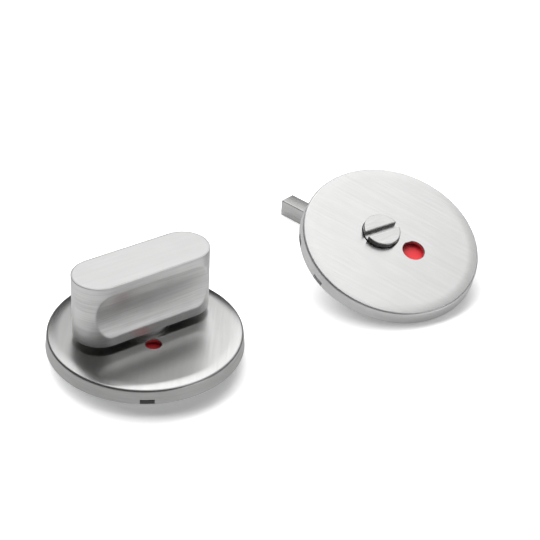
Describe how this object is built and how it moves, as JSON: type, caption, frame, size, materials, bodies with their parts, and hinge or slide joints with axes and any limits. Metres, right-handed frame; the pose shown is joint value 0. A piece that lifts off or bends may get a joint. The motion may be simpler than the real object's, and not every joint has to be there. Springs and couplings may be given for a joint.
{
  "type": "bathroom thumb turn lock",
  "caption": "Round thumb turn and coin release for a bathroom door, with sight windows that show the bolt's state, and the loose square spindle that joins the halves.",
  "frame": {"origin": "on the thumb turn's axis, at the inside rose's back face, which lies on the door", "axes": "+Z along the thumb turn's axis, out of the door; +X to the right and +Y away in the picture's view"},
  "size_m": [0.1164, 0.1032, 0.0274],
  "materials": {
    "satin_steel": "satin",
    "turned_steel": "brushed",
    "plated_steel": "zinc plated",
    "spring_steel": "blued",
    "bar_steel": "drawn",
    "bearing_plastic": "moulded",
    "indicator_white": "painted",
    "indicator_red": "glossy"
  },
  "bodies": {
    "lock_set": {"inside_cover": "satin_steel", "inside_base_plate": "plated_steel", "inside_snap_ring": "spring_steel", "inside_bush": "bearing_plastic", "inside_stop_pin": "spring_steel", "outside_cover": "satin_steel", "outside_base_plate": "plated_steel", "outside_snap_ring": "spring_steel", "outside_bush": "bearing_plastic", "outside_stop_pin": "spring_steel", "spindle": "bar_steel"},
    "turn": {"thumb_turn": "turned_steel", "inside_indicator_disc": "indicator_white", "inside_red_segment": "indicator_red", "inside_disc_spring": "spring_steel", "inside_retaining_ring": "spring_steel"},
    "release": {"coin_release": "turned_steel", "outside_indicator_disc": "indicator_white", "outside_red_segment": "indicator_red", "outside_disc_spring": "spring_steel", "outside_retaining_ring": "spring_steel"}
  },
  "joints": [
    {"name": "thumb_turn_pivot", "type": "hinge", "parent": "lock_set", "child": "turn", "pos_m": [0, 0, 0], "axis": [0, 0, 1], "range_deg": [-14.2, 75.8]},
    {"name": "coin_release_pivot", "type": "hinge", "parent": "lock_set", "child": "release", "pos_m": [0.06281, 0.04153, 0.00675], "axis": [0.1684, -0.3292, 0.9291], "range_deg": [-55.5, 34.5]}
  ]
}
